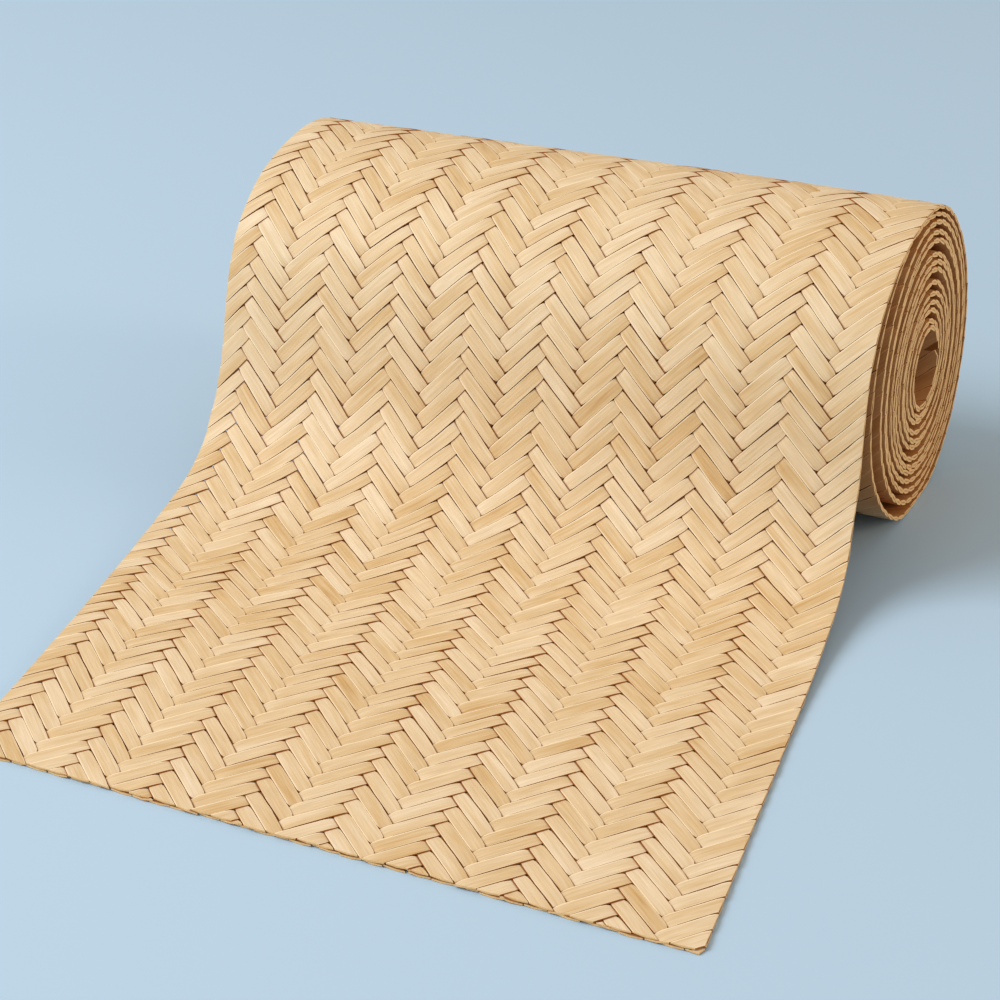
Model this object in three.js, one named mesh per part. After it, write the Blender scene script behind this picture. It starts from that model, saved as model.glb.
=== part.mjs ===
// A roll of cane webbing: one woven sheet of flat splints, wound up, its outer end
// pulled off over the top, hung down the front and laid on the floor.
// Millimetres, +Z up, +X along the roll's axis, the pulled-off end towards -Y.

import * as THREE from 'three';

// The sheet
const WIDTH = 330;                    // across the sheet, which is the roll's length
const THICK = 2.4;                    // two crossing splints
const SPANS = 6;                      // steps across the sheet

// The roll
const CENTRE = { y: 372, z: 71.5 };   // of the core hole, back from the cut end and up
const CORE_RADIUS = 17.5;
const TURN_STEP = 9;                  // degrees from one section of a turn to the next
const WOUND_TURN = 720;               // degrees from the top where the loose turns end

// How the pulled-off length lies off square
const RACK = 36;                      // sideways drift of the cut end, to the right
const RACK_REACH = 280;               // length over which it drifts
const SWAY = 19;                      // how far the left edge stands ahead of the right one
const SWAY_START = 80;
const SWAY_END = 360;
const CURL = 3.6;                     // how far the left edge lifts off the floor
const CURL_START = 40;
const CURL_END = 290;

// Where the right-hand end of the roll is wound closer, at the top towards the back
const SNUG = 3.5;
const SNUG_REACH = 130;
const SNUG_AT = 42;                   // degrees from the top, and how far to both sides
const SNUG_SPREAD = 60;

const CANE = { color: 0xdfc08c, roughness: 0.6, metalness: 0 };

// The middle of the sheet where it is off the roll, at its right edge, from the cut end:
// y back from the cut end, z up from the floor.
const PULLED_OFF = [
  { y: 0, z: 1.2 }, { y: 50, z: 1.2 }, { y: 100, z: 1.2 }, { y: 150, z: 1.6 },
  { y: 190, z: 3.4 }, { y: 220, z: 7.2 }, { y: 243, z: 13 }, { y: 259, z: 22 },
  { y: 269, z: 35 }, { y: 275, z: 51 }, { y: 278, z: 69 }, { y: 280.5, z: 87 },
  { y: 285.5, z: 105 }, { y: 295, z: 121.5 }, { y: 309, z: 134.5 }, { y: 326, z: 143.5 },
  { y: 347, z: 149.3 },
];

// The loose turns: degrees wound from the top over the back, and the sheet's distance
// from the centre. They stand off at the front, where the roll has sprung open.
const LOOSE_TURNS = [
  { at: 0, radius: 79.8 }, { at: 45, radius: 72.6 }, { at: 90, radius: 68.4 },
  { at: 135, radius: 71 }, { at: 180, radius: 72.5 }, { at: 225, radius: 73.8 },
  { at: 270, radius: 81 }, { at: 315, radius: 83.2 }, { at: 360, radius: 75.8 },
  { at: 405, radius: 68.4 }, { at: 450, radius: 63.6 }, { at: 495, radius: 65.6 },
  { at: 540, radius: 66 }, { at: 585, radius: 63 }, { at: 630, radius: 67 },
  { at: 675, radius: 72.2 }, { at: 720, radius: 71 }, { at: 765, radius: 64 },
  { at: 810, radius: 59.3 }, { at: 855, radius: 60.3 }, { at: 900, radius: 60.6 },
  { at: 945, radius: 58.7 }, { at: 990, radius: 62 }, { at: 1035, radius: 66.2 },
  { at: 1080, radius: 66.6 },
];

// A smooth curve of radius against angle through the table above
const radiusCurve = new THREE.SplineCurve(
  LOOSE_TURNS.map((row) => new THREE.Vector2(row.at, row.radius)),
);

function radiusAt(degrees) {
  const last = LOOSE_TURNS.length - 1;
  return radiusCurve.getPoint(degrees / LOOSE_TURNS[last].at).y;
}

// A point of the sheet's middle on the roll; it is pressed flat where it meets the floor
function onRoll(degrees) {
  const angle = THREE.MathUtils.degToRad(degrees);
  const radius = radiusAt(degrees);
  const z = CENTRE.z + radius * Math.cos(angle);
  return new THREE.Vector2(CENTRE.y + radius * Math.sin(angle), Math.max(z, THICK / 2));
}

// The sheet's middle line from the cut end to the end of the first wound turn
function middleLine() {
  const points = [];
  const free = new THREE.SplineCurve([
    ...PULLED_OFF.map((row) => new THREE.Vector2(row.y, row.z)), onRoll(0), onRoll(18),
  ]);
  const steps = 3 * (PULLED_OFF.length + 1);
  const count = 3 * PULLED_OFF.length;
  for (let i = 0; i < count; i++) points.push({ point: free.getPoint(i / steps), turn: -1 });
  for (let turn = 0; turn <= WOUND_TURN + 360; turn += TURN_STEP) {
    points.push({ point: onRoll(turn), turn });
  }
  let length = 0;
  points.forEach((entry, i) => {
    if (i > 0) length += entry.point.distanceTo(points[i - 1].point);
    entry.length = length;
  });
  return points;
}

// One face of the sheet: the middle line moved sideways by half the thickness
function faceLine(line, side) {
  return line.map((entry, i) => {
    const before = line[Math.max(i - 1, 0)].point;
    const after = line[Math.min(i + 1, line.length - 1)].point;
    const along = after.clone().sub(before).normalize();
    const out = new THREE.Vector2(-along.y, along.x).multiplyScalar((side * THICK) / 2);
    const point = entry.point.clone().add(out);
    point.y = Math.max(point.y, 0);
    return { y: point.x, z: point.y, length: entry.length, turn: entry.turn };
  });
}

// The section of the whole roll: along the inner face of the loose turns from the cut end,
// and back along the outer face from the end of the first wound turn
function section() {
  const line = middleLine();
  const outer = faceLine(line, 1);
  const inner = faceLine(line, -1).filter((entry) => entry.turn <= WOUND_TURN);
  return [...inner, ...outer.reverse()];
}

function coreHole() {
  const ring = [];
  for (let turn = 0; turn < 360; turn += 15) {
    const angle = THREE.MathUtils.degToRad(turn);
    ring.push({
      y: CENTRE.y + CORE_RADIUS * Math.sin(angle),
      z: CENTRE.z + CORE_RADIUS * Math.cos(angle),
      length: Infinity,
    });
  }
  return ring;
}

// A smooth hump from 0 up to 1 and back to 0 between two places
function hump(at, start, end) {
  const share = (at - start) / (end - start);
  return share > 0 && share < 1 ? Math.sin(Math.PI * share) : 0;
}

// Where a point of the section lies at a place across the sheet
function place(entry, x) {
  const { length } = entry;
  const left = 1 - x / WIDTH;
  const drift = RACK * Math.max(0, 1 - length / RACK_REACH) ** 1.1;
  const ahead = SWAY * left * hump(length, SWAY_START, SWAY_END) ** 2;
  const lift = CURL * left ** 3 * hump(length, CURL_START, CURL_END);
  const dy = entry.y - CENTRE.y;
  const dz = entry.z - CENTRE.z;
  const degrees = THREE.MathUtils.radToDeg(Math.atan2(dy, dz));
  const right = Math.max(0, 1 - (WIDTH - x) / SNUG_REACH) ** 2;
  const near = hump(degrees, SNUG_AT - SNUG_SPREAD, SNUG_AT + SNUG_SPREAD) ** 2;
  const closer = 1 - (SNUG * right * near * Math.hypot(dy, dz)) / 80 ** 2;
  return [x + drift, CENTRE.y + closer * dy - ahead, CENTRE.z + closer * dz + lift];
}

// The section carried across the sheet as one closed body
function rollGeometry() {
  const outline = section();
  const hole = coreHole();
  const all = [...outline, ...hole];
  const positions = [];
  for (let k = 0; k <= SPANS; k++) {
    for (const entry of all) positions.push(...place(entry, (WIDTH * k) / SPANS));
  }
  const index = [];
  const walls = (first, count) => {
    for (let k = 0; k < SPANS; k++) {
      for (let i = 0; i < count; i++) {
        const a = k * all.length + first + i;
        const b = k * all.length + first + ((i + 1) % count);
        index.push(a, b, b + all.length, a, b + all.length, a + all.length);
      }
    }
  };
  walls(0, outline.length);
  walls(outline.length, hole.length);
  const flat = (list) => list.map((entry) => new THREE.Vector2(entry.y, entry.z));
  const end = SPANS * all.length;
  for (const [a, b, c] of THREE.ShapeUtils.triangulateShape(flat(outline), [flat(hole)])) {
    index.push(a, c, b, a + end, b + end, c + end);
  }
  const geometry = new THREE.BufferGeometry();
  geometry.setAttribute('position', new THREE.Float32BufferAttribute(positions, 3));
  geometry.setIndex(index);
  return geometry;
}

const sheet = new THREE.Mesh(rollGeometry(), new THREE.MeshStandardMaterial(CANE));
sheet.name = 'woven_sheet';

// The origin is in the middle of the roll's footprint, on the floor
const bounds = new THREE.Box3().setFromObject(sheet);
const middle = bounds.getCenter(new THREE.Vector3());
sheet.position.set(-middle.x, -middle.y, -bounds.min.z);

const group = new THREE.Group();
group.add(sheet);

export default group;
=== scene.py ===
"""A roll of cane webbing: flat splints woven in a herringbone, wound up, its end pulled off.

The CAD part gives the form of the sheet. Here the sheet is made of its splints: two sets
that cross at right angles, each at 45 degrees to the edge, over four and under four.
Lengths are in millimetres up to where a mesh is made, and in metres from there on.
"""

import bpy
import numpy as np
from mathutils import Matrix, Vector


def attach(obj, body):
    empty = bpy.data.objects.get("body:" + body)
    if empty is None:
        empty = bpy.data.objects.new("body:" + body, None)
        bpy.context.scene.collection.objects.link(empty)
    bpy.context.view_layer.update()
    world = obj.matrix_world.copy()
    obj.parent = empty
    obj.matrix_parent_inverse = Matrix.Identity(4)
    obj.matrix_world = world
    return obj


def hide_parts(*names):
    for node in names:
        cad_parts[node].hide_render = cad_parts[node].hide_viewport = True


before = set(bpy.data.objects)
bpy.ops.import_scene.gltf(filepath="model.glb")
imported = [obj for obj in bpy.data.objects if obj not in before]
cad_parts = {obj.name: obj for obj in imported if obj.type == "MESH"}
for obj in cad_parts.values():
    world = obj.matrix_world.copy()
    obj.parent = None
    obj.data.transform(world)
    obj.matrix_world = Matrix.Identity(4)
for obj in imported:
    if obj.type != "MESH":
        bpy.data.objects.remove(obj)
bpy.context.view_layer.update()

rng = np.random.default_rng(7)

# The sheet's form, as in the CAD part, but for small steps in or out of its loose turns

WIDTH = 330.0
FLOOR_GAP = 1.2  # from the floor to the middle of the sheet where it lies flat
CENTRE = np.array([372.0, 71.5])  # of the core hole: back from the cut end, and up
SHIFT = np.array([183.0, 220.8])  # from the roll's left end and the cut end to the origin
RACK, RACK_REACH = 36.0, 280.0  # sideways drift of the cut end, and the length it takes
SWAY, SWAY_START, SWAY_END = 19.0, 80.0, 360.0  # the left edge stands ahead, from and to
CURL, CURL_START, CURL_END = 3.6, 40.0, 290.0  # and lifts off the floor
SNUG, SNUG_RADIUS = 3.5, 80.0  # the right end is wound closer by this, so far out
SNUG_REACH = 130.0  # across the sheet
SNUG_AT, SNUG_SPREAD = 42.0, 60.0  # degrees from the top, and how far to both sides
# The sheet's middle where it is off the roll: back from the cut end, and up
PULLED_OFF = [
    (0, 1.2), (50, 1.2), (100, 1.2), (150, 1.6), (190, 3.4), (220, 7.2), (243, 13),
    (259, 22), (269, 35), (275, 51), (278, 69), (280.5, 87), (285.5, 105), (295, 121.5),
    (309, 134.5), (326, 143.5), (347, 149.3),
]
# The sheet's distance from the centre on the roll's outer turns, a row for each station
LOOSE_TURNS = [
    79.8, 72.6, 68.4, 71, 72.5, 74.4, 82.2, 84.6, 77, 68.4, 63.6, 65.6, 66.4, 65, 67.5, 71,
    72.3, 64.8, 59.6, 60.3, 60.6, 59.4, 62, 64.4, 64.2,
]
STATION = 45.0  # degrees from one row to the next, from the top over the back
ON_ROLL = 18.0  # degrees from the top at which the pulled-off curve has joined the roll

# The wound turns inside them, and the line through them all
CORE_LINE = 18.7  # distance of the innermost turn's middle from the centre
WOUND_TURNS = 11.25
LAST_TURN = 0.05  # how far out the last turn starts, as a share of all these turns
OFF_STEP, LOOSE_STEP, WOUND_STEP = 0.05, 1.5, 2.0  # of the line: in rows, then in degrees
LOOSE_DEGREES = 720.0  # from the top to where the wound turns start
UNEVEN = 1.92  # how far a turn strays in or out
STRAY_RATES = [0.37, 0.71, 1.3, 2.2]  # how often, in waves each turn
TELESCOPE = 0.6  # and to the side
SOFT_FOOT = 1.1  # how gently the roll's underside is pressed flat
FULL, SPREAD = 0.25, 0.35  # how much thicker and further apart the splints look deep in it
DEEP_OVER = 200.0  # length over which they come to that
LOWEST = 0.03  # no point of the sheet is nearer to the floor

# The weave
CELL = 10.0  # from one splint to the next, along the sheet and across it
FLOAT = 20.0  # a column of the herringbone, across the sheet
FIRST = -7.6  # where the first column starts
SET_OFF = FIRST + 7.5  # where two splints cross, across the sheet
ROWS_AT = np.array([25.0, 70, 130, 205, 245, 285, 335, 400])  # places along the sheet
ROWS_BY = np.array([4.2, 5.3, 7.7, 6.0, 4.2, 1.2, 3.0, 2.4])  # how far its rows lie on there
ROWS_SLOPE = 0.032  # how far they slope, across the sheet
HALF_WIDTH = CELL / 2 / np.sqrt(2)  # of a splint with its share of the gaps
SPLINT = 1.0  # thickness of a splint
DIP = 2.8  # half the way across the sheet in which a splint changes sides
CROWN = np.array([0.04, 0.22])  # how far it is thinner at its sides, above and below
CORNER = 0.5  # how much narrower a float is at its ends, at each side
BOW = 0.12  # a float stands up in its middle by this share
CUT_END = 1.0  # where the sheet's cut end is, on average
FINE_RINGS = np.array([0.0, 1.2, 2.8, 6.4, 10.0, 13.6, 17.2, 18.8])  # of its sections in a column
COARSE_RINGS = np.array([0.0, 1.7, 6.0, 14.0, 18.3])

# How much of the sheet shows its weave, and where the roll begins to shade it
OUTER_LENGTH = 900.0  # woven all over, from the cut end
MARGIN = 24.0  # at both side edges, in the turns inside that
LINING = 125.0  # woven all over, at the core
ROLL_SHADE_FROM, ROLL_SHADE_OVER = 680.0, 80.0


def spline(rows, at):
    """Catmull-Rom curve: through the rows, at places counted from 0 in rows."""
    last = len(rows) - 1
    i = np.clip(at.astype(int), 0, last - 1)
    w = (at - i)[:, None]
    before, a = rows[np.maximum(i - 1, 0)], rows[i]
    b, after = rows[i + 1], rows[np.minimum(i + 2, last)]
    p, q = (b - before) / 2, (after - a) / 2
    return (2 * a - 2 * b + p + q) * w**3 + (3 * b - 3 * a - 2 * p - q) * w**2 + p * w + a


def waves(at, rates, phases):
    """A smooth uneven line from -1 to 1: the mean of sines of these rates."""
    return np.mean([np.sin(at * r + p) for r, p in zip(rates, phases)], axis=0)


def on_roll(degrees, radius):
    """Points round the centre, clockwise from the top over the back, pressed flat below.

    The height is a soft maximum, s log(1 + exp(z / s)), of the circle's and the floor's.
    """
    angle = np.radians(degrees)
    y = CENTRE[0] + radius * np.sin(angle)
    z = CENTRE[1] + radius * np.cos(angle) - FLOOR_GAP
    return np.stack([y, FLOOR_GAP + SOFT_FOOT * np.logaddexp(0, z / SOFT_FOOT)], 1)


def centre_line():
    """The middle of the sheet from the cut end to the core, as (length, y, z) rows.

    Off the roll and on its loose turns it follows the stations. Inside them the radius
    falls evenly with each turn, from the last loose one's form to the round core, and the
    last turn lies close to the one around it.
    """
    table = np.array(LOOSE_TURNS)[:, None]
    rows, last_loose = int(360 / STATION), int(LOOSE_DEGREES / STATION)
    loose = np.arange(0, LOOSE_DEGREES, LOOSE_STEP)
    joint = np.array([0.0, ON_ROLL])
    top = on_roll(joint, spline(table, joint / STATION)[:, 0])
    off = spline(np.vstack([PULLED_OFF, top]), np.arange(0, len(PULLED_OFF), OFF_STEP))
    on = on_roll(loose, spline(table, loose / STATION)[:, 0])
    turns = np.arange(0, WOUND_TURNS * 360 + 1, WOUND_STEP) / 360
    thick = lambda at: np.interp(at, [0, WOUND_TURNS - 1, WOUND_TURNS], [1, LAST_TURN, 0])
    first_wound = table[last_loose:last_loose + rows, 0]
    outer = CORE_LINE + (first_wound - CORE_LINE) / thick(np.arange(rows) / rows)
    closed = np.concatenate([outer[-2:], outer, outer[:3]])[:, None]
    outside = spline(closed, 2 + (turns % 1) * rows)[:, 0]
    radius = CORE_LINE + (outside - CORE_LINE) * thick(turns)
    ease = np.clip(turns, 0, 1) * np.clip(WOUND_TURNS - 1 - turns, 0, 1)
    stray = waves(turns * 2 * np.pi, STRAY_RATES, rng.uniform(0, 6, 4))
    wound = on_roll(LOOSE_DEGREES + turns * 360, radius + UNEVEN * ease * stray)
    points = np.vstack([off, on, wound])
    steps = np.hypot(*np.diff(points, axis=0).T)
    return np.column_stack([np.concatenate([[0], np.cumsum(steps)]), points])


LINE = centre_line()
ALONG = np.gradient(LINE[:, 1:], axis=0)
ALONG /= np.hypot(ALONG[:, 0], ALONG[:, 1])[:, None]
LENGTH = LINE[-1, 0]
SIDE_RATES, SIDE_PHASES = [1 / 61, 1 / 103, 1 / 37], rng.uniform(0, 6, 3)


def hump(at, start, end):
    """A smooth rise from 0 to 1 and fall back to 0 between two places."""
    return np.sin(np.pi * np.clip((at - start) / (end - start), 0, 1))


def in_roll(v):
    """How deep inside the roll a place along the sheet is, from 0 to 1."""
    return np.clip((v - OUTER_LENGTH) / DEEP_OVER, 0, 1)


def place(u, v, h):
    """Where a point of the sheet lies: u across it, v along it, h out from its middle.

    The centre line at v, carried sideways to u. The pulled-off length drifts to the right,
    its left edge stands ahead and lifts, and the roll's right end is wound closer at the top.
    """
    y, z = (np.interp(v, LINE[:, 0], LINE[:, k]) for k in (1, 2))
    ty, tz = (np.interp(v, LINE[:, 0], ALONG[:, k]) for k in (0, 1))
    left = 1 - u / WIDTH
    dy, dz = y - h * tz - CENTRE[0], z + h * ty - CENTRE[1]
    right = np.maximum(0, 1 - (WIDTH - u) / SNUG_REACH) ** 2
    degrees = np.degrees(np.arctan2(dy, dz))
    near = hump(degrees, SNUG_AT - SNUG_SPREAD, SNUG_AT + SNUG_SPREAD) ** 2
    closer = 1 - SNUG * right * near * np.hypot(dy, dz) / SNUG_RADIUS**2
    ahead = SWAY * left * hump(v, SWAY_START, SWAY_END) ** 2
    lift = CURL * left**3 * hump(v, CURL_START, CURL_END)
    drift = RACK * np.maximum(0, 1 - v / RACK_REACH) ** 1.1
    side = TELESCOPE * in_roll(v) * waves(v, SIDE_RATES, SIDE_PHASES)
    x = u + drift + side - SHIFT[0]
    y = CENTRE[0] + closer * dy - ahead - SHIFT[1]
    z = np.maximum(CENTRE[1] + closer * dz + lift, LOWEST)
    return np.stack([x, y, z], -1) / 1000


# The splints

GRAIN_STEP, GRAIN_SET, GRAIN_SPAN = 13.7, 500, 997  # give each one its own place in the noises
SECTION = 6  # points round a splint: three above, three below
UNROLLED = np.array([0, 3.5, 7, 8, 11.5, 15, 16])  # where they are on its map
ABOVE = np.array([[0, 1, 4, 5], [1, 2, 3, 4]])  # the two halves of its end
SHARP_ANGLE = 40.0  # between a splint's face and its side
MOST = 1000  # splints in one set, before their unevenness starts again
TONE = rng.uniform(0, 1, (2, MOST))
LEAST_GAP, MORE_GAP = 0.07, 0.46  # at each side of a splint
GAP_RATE, GAP_SWING = 2.9, 0.65  # how it changes from float to float
FAR_LEAST = (0.2, 0.3)  # the share of it at the near end of a float, of each set
GAP_PHASES = rng.uniform(0, 2 * np.pi, (2, MOST, 2))
GAP_BIAS = rng.normal(0.28, 0.32, (2, MOST, 2))
LEAN, LEAN_RATE = 0.035, 2.4  # how much a float leans to one side, by turns
LEAN_PHASES = rng.uniform(0, 2 * np.pi, (2, MOST))
SIDE_CUTS, END_CUTS = rng.normal(0, 0.07, (2, MOST, 2)), rng.normal(0, 0.25, (2, MOST, 2))
LENS = np.array([0, 0.3, 0])  # at the sheet's end a splint is longest in its middle
CROWDED = 0.01  # from one section to the next where they crowd together
WOUND_GAPS = 0.4  # the share of these gaps that is left at the wound turns' ends
SHORTEST, CLEAR = 0.5, 0.3  # least length of a splint, and of its first and last step
FIRM_EDGE, FIRM = 2.5, 0.3  # how near the sheet's side edges they close up, and the share left
SLAB_STEP, SLAB_HALF = 2.2, 0.7  # length of a step and half the thickness of the plain band
SLAB_SHRINK = 8  # how much smaller it is on its map
SLAB_LAP = (2, 10, 4)  # how far it reaches below the splints at its sides, start and end
WELL_INSIDE = 2.0  # how far into a float the finish can tell
MAP_MARGIN, MAP_GAP = 2, 0.8  # round a splint on its map
END_DEPTH, END_DEPTH_IN = 1.4, 0.2  # of its ends on the map


def inside_float(u):
    """How far a place is inside a float of the rising set, across the sheet; else below 0."""
    near = (u - FIRST) % (2 * FLOAT)
    return np.where(near > 1.5 * FLOAT, near - 2 * FLOAT, FLOAT / 2 - np.abs(near - FLOAT / 2))


def ring_places(low, high, rings):
    """Places across the sheet where the splints get a section, between two limits."""
    columns = np.arange(np.floor((low - FIRST) / FLOAT), (high - FIRST) / FLOAT + 1)
    at = (FIRST + columns[:, None] * FLOAT + rings).ravel()
    return at[(at > low) & (at < high)]


def rings_of(kind, zone, rings):
    """The sections of one set of splints in a zone (u0, u1, v0, v1), and each one's splint.

    A rising splint keeps u - v, a falling one u + v, so the place across the sheet of a
    splint's middle says where on the splint it is. Each of its three lines, two sides and
    the middle, ends exactly on the zone's edge, so that the ends are cut on the slant: where
    a line has ended already, its further sections crowd together just before its end.
    """
    u0, u1, v0, v1 = zone
    way = -1 if kind else 1
    c = np.array([-1, 0, 1]) * HALF_WIDTH / np.sqrt(2)
    reach = (u0 - v1, u1 - v0) if kind == 0 else (u0 + v0, u1 + v1)
    rows, owner = [], []
    for number in range(int(reach[0] / CELL) - 2, int(reach[1] / CELL) + 3):
        k = number * CELL + SET_OFF
        ends = []
        for v in (v0, v1):
            rows_by = np.interp(v, ROWS_AT, ROWS_BY) - ROWS_SLOPE * WIDTH / 2
            middle = k + way * (v - rows_by)
            ends.append((middle + c * (1 - way * ROWS_SLOPE)) / (1 + way * ROWS_SLOPE))
        start, end = ends[::way]
        left, right = SIDE_CUTS[kind, number % MOST]
        first, last = END_CUTS[kind, number % MOST]
        low = np.maximum(u0 - c + left, start + first - LENS)
        high = np.minimum(u1 - c + right, end + last + LENS)
        if (high - low).min() > SHORTEST:
            inner = ring_places(low.min() + CLEAR, high.max() - CLEAR, rings)[:, None]
            crowd = CROWDED * np.arange(1, len(inner) + 1)[:, None]
            inner = np.minimum(np.maximum(inner, low + crowd), high - crowd[::-1])
            rows.append(np.vstack([low, inner, high]))
            owner += [number] * (len(inner) + 2)
    return np.vstack(rows), np.array(owner)


def splints(kind, zone, rings=FINE_RINGS, gaps=1.0):
    """One set of splints (0 rising to the right, 1 falling) in one zone of the sheet.

    Its height is a sine that dips below the other set and comes up again. In each float it
    bows up in its middle, leans a little to one side and narrows at its ends. Its gap to its
    neighbours swells towards the far end of a rising float, and towards both ends of a
    falling one, and closes up at the sheet's side edges.
    """
    uc, owner = rings_of(kind, zone, rings)
    index = owner % MOST
    run = uc * np.sqrt(2)
    column, share = np.divmod((uc - FIRST) / FLOAT, 1)
    inside = inside_float(uc) * (1 - 2 * kind)

    # Its two sides: half a cell, less the gap
    inset = []
    gaps = gaps * np.clip(np.minimum(uc[:, 1], WIDTH - uc[:, 1]) / FIRM_EDGE, FIRM, 1)[:, None]
    for side in (0, 1):
        swing = np.sin(GAP_RATE * column[:, 2 * side] + GAP_PHASES[kind, index, side])
        swell = np.clip(GAP_BIAS[kind, index, side] + GAP_SWING * swing, 0, 1)
        far = np.abs(np.cos(np.pi * share[:, 2 * side])) if kind else share[:, 2 * side]
        swell *= FAR_LEAST[kind] + (1 - FAR_LEAST[kind]) * far
        narrow = CORNER * np.exp(-(inside[:, 2 * side] ** 2))
        inset.append(gaps * (LEAST_GAP + MORE_GAP * swell + narrow)[:, None])
    low, high = inset[0] - HALF_WIDTH, HALF_WIDTH - inset[1]
    c = np.concatenate([low, (low + high) / 2, high], 1)

    # Its height, and its place across the sheet and along it
    over = np.sin(np.pi / 2 * np.clip(inside / DIP, -1, 1))
    lean = LEAN * np.sin(column * LEAN_RATE + LEAN_PHASES[kind, index][:, None])
    h = SPLINT / 2 * over * (1 + BOW * (1 - (2 * share - 1) ** 2)) + c * lean * np.abs(over)
    u = uc + c / np.sqrt(2)
    k = owner[:, None] * CELL + SET_OFF
    row = (k - uc if kind else uc - k) + (c if kind else -c) / np.sqrt(2)
    v = row + np.interp(row, ROWS_AT, ROWS_BY) + ROWS_SLOPE * (u - WIDTH / 2)
    h *= 1 + SPREAD * in_roll(v)
    half = SPLINT / 2 * (1 + FULL * in_roll(v))
    top, bottom = (half - side * np.array([1, 0, 1]) for side in CROWN)
    above, below = place(u, v, h + top), place(u, v, h - bottom)
    both = lambda top, bottom: np.concatenate([top, bottom[:, ::-1]], 1)

    # What its finish needs to know, for its painted shade where the other set lies over it
    # and where the roll shades it; at the sheet's corners no float gets the other set's shade
    at_corner = (np.abs(u - WIDTH / 2) > WIDTH / 2 - CELL / 2) & (v < CELL / 2)
    near = np.where(at_corner, 1, np.clip(inside / WELL_INSIDE, -1, 1))
    painted_shade = np.clip((v - ROLL_SHADE_FROM) / ROLL_SHADE_OVER, 0, 1)
    tone = np.repeat(TONE[kind, index][:, None], 3, 1)
    number = np.repeat((owner * GRAIN_STEP + GRAIN_SET * kind)[:, None] % GRAIN_SPAN, 3, 1)
    return {
        "points": both(above, below),
        "run": both(run, run),
        "grain": both(*[np.stack([c, run, number], -1)] * 2),
        # lay's third value is painted shade: how far the roll shades the face above, and full
        # below
        "lay": both(np.stack([near, tone, painted_shade], -1), np.stack([-near, tone, 0 * c + 1], -1)),
        "owner": owner,
        "turned": kind == 0,
    }


def slab(u0, u1, v0, v1):
    """The turns between their margins, where nothing shows them, as one plain band.

    Sections at even steps along the sheet, each two flat lines above and below its middle.
    """
    v = np.arange(v0, v1, SLAB_STEP)
    u = np.broadcast_to([u0, (u0 + u1) / 2, u1], (len(v), 3))
    run = np.broadcast_to(v[:, None], (len(v), SECTION))
    zero = np.zeros_like(run)
    above, below = place(u, run[:, :3], SLAB_HALF), place(u, run[:, :3], -SLAB_HALF)
    return {
        "points": np.concatenate([above, below[:, ::-1]], 1),
        "run": run / SLAB_SHRINK,
        "grain": np.stack([zero, run / SLAB_SHRINK, zero], -1),
        # Painted as lying under the other set and in full shade, as nothing shows it
        "lay": np.stack([zero - 1, zero + 0.5, zero + 1], -1),
        "owner": np.zeros(len(v), int),
        "turned": True,
    }


def pack_strips(lengths, height):
    """Places strips in rows on the smallest square that takes them all."""
    side = np.sqrt(lengths.sum() * height)
    order = np.argsort(-lengths, kind="stable")
    while True:
        side *= 1.02
        x, y = np.zeros(len(lengths)), np.zeros(len(lengths))
        at_x, at_y = 0.0, 0.0
        for i in order:
            if at_x + lengths[i] > side:
                at_x, at_y = 0.0, at_y + height
            x[i], y[i] = at_x, at_y
            at_x += lengths[i]
        if at_y + height <= side and lengths.max() <= side:
            return x, y, side


def faces_of(part):
    """The faces of a part's splints: corners, places on the map, kind, strip.

    Every two sections of a splint are joined by six faces, four flat ones of kind 0 and two
    narrow sides of kind 1. Its ends are two faces each, of kind 2. On the map a splint is
    unrolled to a strip, its length on one side and the way round it on the other.
    """
    owner, run = part["owner"], part["run"]
    first = np.flatnonzero(np.concatenate([[True], owner[1:] != owner[:-1]]))
    last = np.append(first[1:], len(owner)) - 1
    strip = np.repeat(np.arange(len(first)), last - first + 1)
    begin = run[first].min(1)
    size = run[last].max(1) - begin + 2 * MAP_MARGIN
    x = run - begin[strip][:, None] + MAP_MARGIN
    k = np.arange(SECTION)
    k1 = (k + 1) % SECTION
    a = np.flatnonzero(owner[1:] == owner[:-1])[:, None]
    b = a + 1
    walls = np.stack([a * SECTION + k, b * SECTION + k, b * SECTION + k1, a * SECTION + k1], -1)
    wall_x = np.stack([x[a, k], x[b, k], x[b, k1], x[a, k1]], -1)
    wall_y = np.stack([UNROLLED[k], UNROLLED[k], UNROLLED[k + 1], UNROLLED[k + 1]], -1)
    corners, at_x, at_y = [walls], [wall_x], [np.broadcast_to(wall_y, wall_x.shape)]
    for ends, way, out in ((first, ABOVE, -1), (last, ABOVE[:, ::-1], 1)):
        corners.append(ends[:, None, None] * SECTION + way)
        depth = np.where(way > 2, END_DEPTH, END_DEPTH_IN)
        at_x.append(x[ends[:, None, None], way] + out * depth)
        at_y.append(np.broadcast_to(UNROLLED[np.where(way > 2, 5 - way, way)], at_x[-1].shape))
    flip = slice(None, None, -1 if part["turned"] else 1)
    flat = lambda arrays: np.concatenate([f.reshape(-1, 4) for f in arrays])[:, flip]
    kinds = np.concatenate([np.tile([0, 0, 1, 0, 0, 1], len(a)), np.full(4 * len(first), 2)])
    end_strips = np.repeat(np.arange(len(first)), 2)
    strips = np.concatenate([np.repeat(strip[a[:, 0]], SECTION), end_strips, end_strips])
    return flat(corners), flat(at_x), flat(at_y), kinds, strips, size


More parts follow.
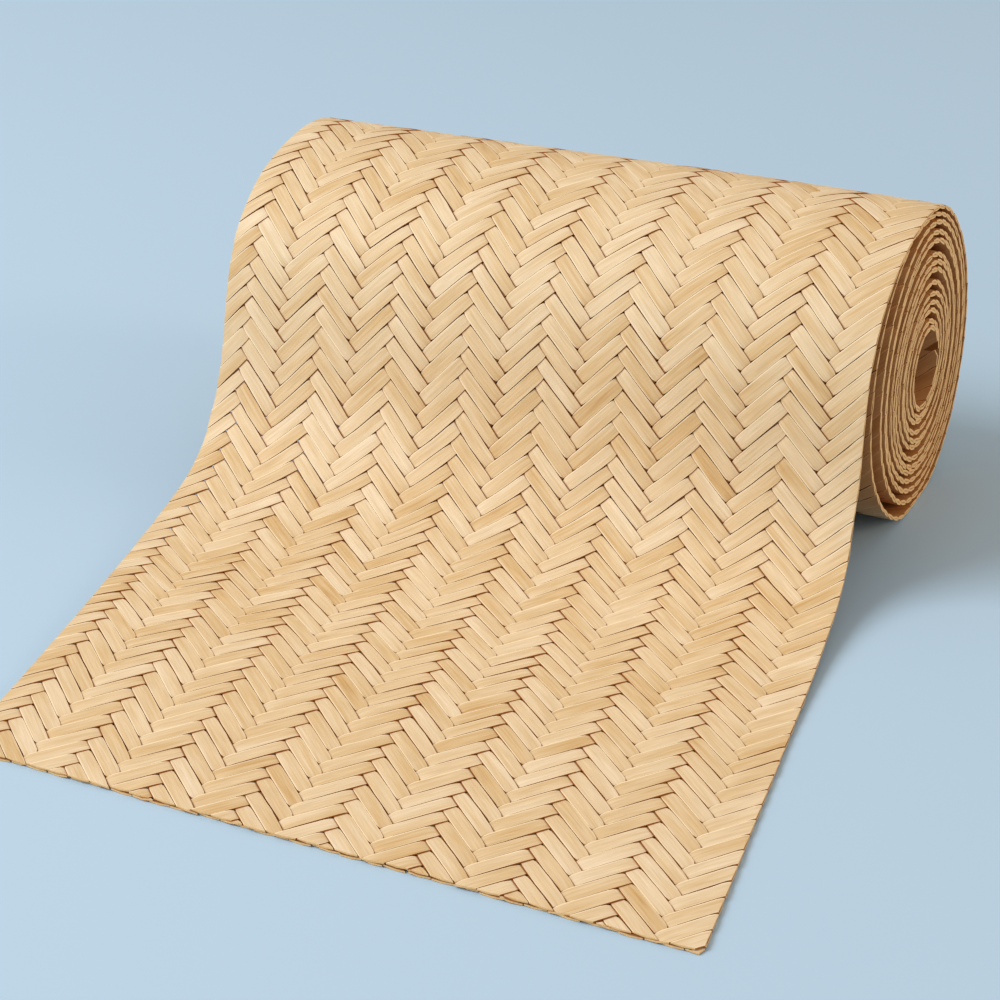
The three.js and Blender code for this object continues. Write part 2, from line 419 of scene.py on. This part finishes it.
def cloth(name, parts, materials):
    """One mesh of several parts, every splint closed, with what its finish needs to know.

    The finishes are in the order of the kinds of face. At each point, grain holds the place
    across the splint, the place along it and its number, and lay holds how far the point is
    inside a float that shows, which sets the painted shade where the other set lies over it,
    the splint's tone, and how far it is painted in shade, by the roll on the face above and in
    full on the inner side below.
    """
    corners, xs, ys, kinds, strips, sizes = [], [], [], [], [], []
    points = strip_count = 0
    for part in parts:
        c, x, y, kind, strip, size = faces_of(part)
        corners.append(c + points)
        xs.append(x)
        ys.append(y)
        kinds.append(kind)
        sizes.append(size)
        strips.append(strip + strip_count)
        points += part["points"].shape[0] * SECTION
        strip_count += len(size)
    corners, kinds = np.concatenate(corners), np.concatenate(kinds)
    mesh = bpy.data.meshes.new(name)
    mesh.vertices.add(points)
    mesh.vertices.foreach_set("co", np.concatenate([p["points"].ravel() for p in parts]))
    mesh.loops.add(corners.size)
    mesh.loops.foreach_set("vertex_index", corners.ravel())
    mesh.polygons.add(len(corners))
    mesh.polygons.foreach_set("loop_start", np.arange(len(corners)) * 4)
    mesh.polygons.foreach_set("material_index", kinds.astype(np.int32))
    mesh.update(calc_edges=True)
    mesh.set_sharp_from_angle(angle=np.radians(SHARP_ANGLE))
    x0, y0, side = pack_strips(np.concatenate(sizes), UNROLLED[-1] + MAP_GAP)
    strips = np.concatenate(strips)[:, None]
    uv = np.stack([np.concatenate(xs) + x0[strips], np.concatenate(ys) + y0[strips]], -1)
    mesh.uv_layers.new(name="OFBake").data.foreach_set("uv", (uv / side).ravel())
    for attribute in ("grain", "lay"):
        data = np.concatenate([part[attribute].ravel() for part in parts])
        mesh.attributes.new(attribute, "FLOAT_VECTOR", "POINT").data.foreach_set("vector", data)
    for material in materials:
        mesh.materials.append(material)
    piece = bpy.data.objects.new(name, mesh)
    bpy.context.scene.collection.objects.link(piece)
    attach(piece, "root")
    return piece


# Materials


def linear(code):
    """A colour written as a hex number, for the shader."""
    parts = [(code >> shift & 255) / 255 for shift in (16, 8, 0)]
    return [c / 12.92 if c <= 0.04045 else ((c + 0.055) / 1.055) ** 2.4 for c in parts] + [1]


# Straw, honey and amber, from the palest to the darkest
CANE_TONES = [
    (0, 0xF2E1C7), (0.35, 0xE4CCA7), (0.6, 0xD9BA8B), (0.8, 0xCAA26A), (1, 0xAE7C44),
]
# Painted highlight along the split edges; painted shade on the inner side, in the roll and where
# a splint lies under the other set
EDGE_HIGHLIGHT, SHADED, COVERED_SHADE = 0xFFEDCC, 0xD49A58, 0x864A12
# Painted shade in the gaps between splints
SIDE_SHADE = 0xAE6E30
# Tan pith for the cut ends, and painted shade where two cut ends meet
PITH, CONTACT_SHADE = (0xDEAA68, 0xFCD69C), 0x563010
PALE_BLUE = 0xB2CFE9


def node(tree, kind, inputs=(), **settings):
    """Adds a node, with its settings, and its inputs as values or as sockets to link."""
    made = tree.nodes.new("ShaderNode" + kind)
    for key, value in settings.items():
        setattr(made, key, value)
    for key, value in dict(inputs).items():
        if isinstance(value, bpy.types.NodeSocket):
            tree.links.new(value, made.inputs[key])
        else:
            made.inputs[key].default_value = value
    return made


def new_material(name):
    """An empty material with its principled shader."""
    material = bpy.data.materials.new(name)
    material.use_nodes = True
    tree = material.node_tree
    return material, tree, tree.nodes["Principled BSDF"]


def cane_material():
    """Split cane, dried and woven: straw to honey splints with a fine lengthwise grain.

    Each splint has its own tone, which drifts along it, with darker streaks. It is satin,
    with a painted highlight along its two split edges, painted shade in brown on its inner
    side and inside the roll, and painted shade in brown where the other set lies over it and
    at the corners of its floats.
    """
    material, tree, shader = new_material("split_cane_woven")
    grain = node(tree, "Attribute", attribute_name="grain").outputs["Vector"]
    lay = node(tree, "Attribute", attribute_name="lay").outputs["Vector"]
    across, run = node(tree, "SeparateXYZ", {0: grain}).outputs[:2]
    inside, own, shade_share = node(tree, "SeparateXYZ", {0: lay}).outputs

    # Noises, their scales in lumps per millimetre across a splint and along it
    at = node(tree, "VectorMath", {0: grain, 1: (0.12, 0.022, 1)}, operation="MULTIPLY")
    drift = node(tree, "TexNoise", {0: at.outputs[0], "Scale": 1, "Detail": 3}).outputs[0]
    at = node(tree, "VectorMath", {0: grain, 1: (0.9, 0.03, 1.3)}, operation="MULTIPLY")
    streaks = node(tree, "TexNoise", {0: at.outputs[0], "Scale": 1, "Detail": 2}).outputs[0]
    at = node(tree, "VectorMath", {0: grain, 1: (3.2, 0.09, 1)}, operation="MULTIPLY")
    fibres = node(tree, "TexNoise", {0: at.outputs[0], "Scale": 1, "Detail": 3}).outputs[0]

    # From pale to dark: the splint's own tone, its drift and its streaks
    tone = node(tree, "Math", {0: own, 1: 0.24, 2: -0.385}, operation="MULTIPLY_ADD")
    tone = node(tree, "Math", {0: drift, 1: 0.8, 2: tone.outputs[0]}, operation="MULTIPLY_ADD")
    tone = node(tree, "Math", {0: streaks, 1: 0.6, 2: tone.outputs[0]}, operation="MULTIPLY_ADD")
    ramp = node(tree, "ValToRGB", {0: tone.outputs[0]})
    stops = ramp.color_ramp.elements
    for place_on, _ in CANE_TONES[1:-1]:
        stops.new(place_on)
    for stop, (_, code) in zip(stops, CANE_TONES):
        stop.color = linear(code)
    shade = node(tree, "MapRange", {0: fibres, 1: 0.25, 2: 0.75, 3: 0.87, 4: 1.1}).outputs[0]
    colour = node(
        tree, "Mix", {0: 1.0, 6: ramp.outputs[0], 7: shade}, data_type="RGBA",
        blend_type="MULTIPLY",
    ).outputs[2]

    # Painted highlights along the split edges, and painted shade in brown where the light doesn't
    # reach
    side = node(tree, "Math", {0: across}, operation="ABSOLUTE").outputs[0]
    lit = node(tree, "MapRange", {0: across, 1: -2.85, 2: -3.1, 3: 0.0, 4: 0.75}).outputs[0]
    other = node(tree, "MapRange", {0: across, 1: 3.0, 2: 3.25, 3: 0.0, 4: 0.35}).outputs[0]
    edge = node(tree, "Math", {0: lit, 1: other}, operation="MAXIMUM").outputs[0]
    colour = node(
        tree, "Mix", {0: edge, 6: colour, 7: linear(EDGE_HIGHLIGHT)}, data_type="RGBA",
    ).outputs[2]
    painted_shade = node(tree, "Math", {0: shade_share, 1: 0.85}, operation="MULTIPLY").outputs[0]
    colour = node(
        tree, "Mix", {0: painted_shade, 6: colour, 7: linear(SHADED)}, data_type="RGBA",
        blend_type="MULTIPLY",
    ).outputs[2]

    # Painted shade: brown where the other set lies over it, and in dots at the corners of a float
    covered_shade = node(tree, "MapRange", {0: inside, 1: 0.15, 2: -0.05, 3: 0.0, 4: 0.9}).outputs[0]
    along = node(tree, "Math", {0: run, 1: HALF_WIDTH}, operation="PINGPONG").outputs[0]
    off = node(tree, "CombineXYZ", {0: side, 1: along}).outputs[0]
    off = node(tree, "VectorMath", {0: off, 1: (HALF_WIDTH, HALF_WIDTH, 0)}, operation="DISTANCE")
    corner_shade = node(tree, "MapRange", {0: off.outputs["Value"], 1: 0.9, 2: 0.3}).outputs[0]
    at_end = node(tree, "MapRange", {0: inside, 1: 0.9, 2: 0.5, 3: 0.0, 4: 0.8}).outputs[0]
    corner_shade = node(tree, "Math", {0: corner_shade, 1: at_end}, operation="MULTIPLY").outputs[0]
    dark = node(tree, "Math", {0: covered_shade, 1: corner_shade}, operation="MAXIMUM").outputs[0]
    colour = node(
        tree, "Mix", {0: dark, 6: colour, 7: linear(COVERED_SHADE)}, data_type="RGBA",
    ).outputs[2]

    tree.links.new(colour, shader.inputs["Base Color"])
    rough = node(tree, "MapRange", {0: fibres, 1: 0.2, 2: 0.8, 3: 0.42, 4: 0.6}).outputs[0]
    tree.links.new(rough, shader.inputs["Roughness"])
    shader.inputs["Specular IOR Level"].default_value = 0.3
    bump = node(tree, "Bump", {"Height": fibres, "Strength": 0.25, "Distance": 0.0002})
    tree.links.new(bump.outputs[0], shader.inputs["Normal"])
    return material


def side_material():
    """Split cane's narrow sides: painted shade in brown, as the dark lines of the gaps between
    splints.
    """
    material, _, shader = new_material("split_cane_sides_shade")
    shader.inputs["Base Color"].default_value = linear(SIDE_SHADE)
    shader.inputs["Roughness"].default_value = 0.9
    shader.inputs["Specular IOR Level"].default_value = 0.1
    return material


def cut_material():
    """Cut cane: matte, pithy splint ends, tan, with painted shade in brown where two of them
    meet.
    """
    material, tree, shader = new_material("split_cane_cut")
    grain = node(tree, "Attribute", attribute_name="grain").outputs["Vector"]
    lay = node(tree, "Attribute", attribute_name="lay").outputs["Vector"]
    inside = node(tree, "SeparateXYZ", {0: lay}).outputs[0]
    pores = node(tree, "TexNoise", {0: grain, "Scale": 1.5, "Detail": 2}).outputs[0]
    ramp = node(tree, "ValToRGB", {0: pores})
    for stop, code in zip(ramp.color_ramp.elements, PITH):
        stop.color = linear(code)
    # Painted shade in brown where two layers lie against each other
    contact_shade = node(tree, "MapRange", {0: inside, 1: -0.1, 2: -0.9, 3: 0.0, 4: 0.4}).outputs[0]
    colour = node(
        tree, "Mix", {0: contact_shade, 6: ramp.outputs[0], 7: linear(CONTACT_SHADE)}, data_type="RGBA",
    ).outputs[2]
    tree.links.new(colour, shader.inputs["Base Color"])
    shader.inputs["Roughness"].default_value = 0.85
    bump = node(tree, "Bump", {"Height": pores, "Strength": 0.3, "Distance": 0.0002})
    tree.links.new(bump.outputs[0], shader.inputs["Normal"])
    return material


# The pieces

finish = [cane_material(), side_material(), cut_material()]
whole = (0, WIDTH, CUT_END, OUTER_LENGTH)
rising = cloth("rising_splints", [splints(0, whole)], finish)
falling = cloth("falling_splints", [splints(1, whole)], finish)
inner_end = LENGTH - LINING
side, start, end = SLAB_LAP
slab_sides = (MARGIN - side, WIDTH - MARGIN + side)
inner = [slab(*slab_sides, OUTER_LENGTH - start, inner_end + end)]
for kind in (0, 1):
    for u0, u1 in ((0, MARGIN), (WIDTH - MARGIN, WIDTH)):
        inner.append(splints(kind, (u0, u1, OUTER_LENGTH, inner_end), COARSE_RINGS, WOUND_GAPS))
    inner.append(splints(kind, (0, WIDTH, inner_end, LENGTH)))
wound = cloth("wound_turns", inner, finish)
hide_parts("woven_sheet")

# The floor it stands on

FLOOR = 6.0  # half its width, in metres
floor_mesh = bpy.data.meshes.new("floor")
corners = [(-FLOOR, -FLOOR, 0), (FLOOR, -FLOOR, 0), (FLOOR, FLOOR, 0), (-FLOOR, FLOOR, 0)]
floor_mesh.from_pydata(corners, [], [(0, 1, 2, 3)])
floor = bpy.data.objects.new("floor", floor_mesh)
bpy.context.scene.collection.objects.link(floor)
paper, paper_tree, paper_shader = new_material("pale_blue_paper")
paper_shader.inputs["Base Color"].default_value = linear(PALE_BLUE)
paper_shader.inputs["Roughness"].default_value = 0.9
floor_mesh.materials.append(paper)

# The light: soft from the upper left, weak from the right and the front, in a pale room


def area_light(name, at, size, power, colour):
    """A soft lamp of this size, turned towards the part's origin."""
    lamp = bpy.data.lights.new(name, "AREA")
    lamp.shape, lamp.size = "DISK", size
    lamp.energy, lamp.color = power, linear(colour)[:3]
    made = bpy.data.objects.new(name, lamp)
    made.location = at
    made.rotation_euler = Vector(at).to_track_quat("Z", "Y").to_euler()
    bpy.context.scene.collection.objects.link(made)


area_light("key", (-2.2, -1.3, 2.5), size=2.3, power=92, colour=0xFFFDFA)
area_light("fill", (2.4, 0.7, 0.9), size=1.1, power=18, colour=0xFFE2C2)
area_light("front", (-0.8, -2.6, 1.0), size=1.4, power=9, colour=0xFFF4E4)
world = bpy.data.worlds.new("room")
world.use_nodes = True
world.node_tree.nodes["Background"].inputs[0].default_value = linear(0xFFF6EA)
world.node_tree.nodes["Background"].inputs[1].default_value = 0.5
bpy.context.scene.world = world
bpy.context.scene.view_settings.view_transform = "Standard"

# The camera, where the photograph was taken from

CAMERA_AT = (0.42479, -0.84888, 0.5320)
CAMERA_RIGHT = (0.89752273, 0.44032252, -0.02385437)
CAMERA_DOWN = (0.18307482, -0.42128805, -0.88825671)
CAMERA_AHEAD = (-0.401169, 0.79286345, -0.45872757)
lens = bpy.data.cameras.new("camera")
lens.lens, lens.sensor_width = 84.58, 36
lens.clip_start, lens.clip_end = 0.05, 30
camera = bpy.data.objects.new("camera", lens)
axes = np.array([CAMERA_RIGHT, [-c for c in CAMERA_DOWN], [-c for c in CAMERA_AHEAD]]).T
pose = np.eye(4)
pose[:3, :3], pose[:3, 3] = axes, CAMERA_AT
camera.matrix_world = Matrix(pose)
bpy.context.scene.collection.objects.link(camera)
bpy.context.scene.camera = camera
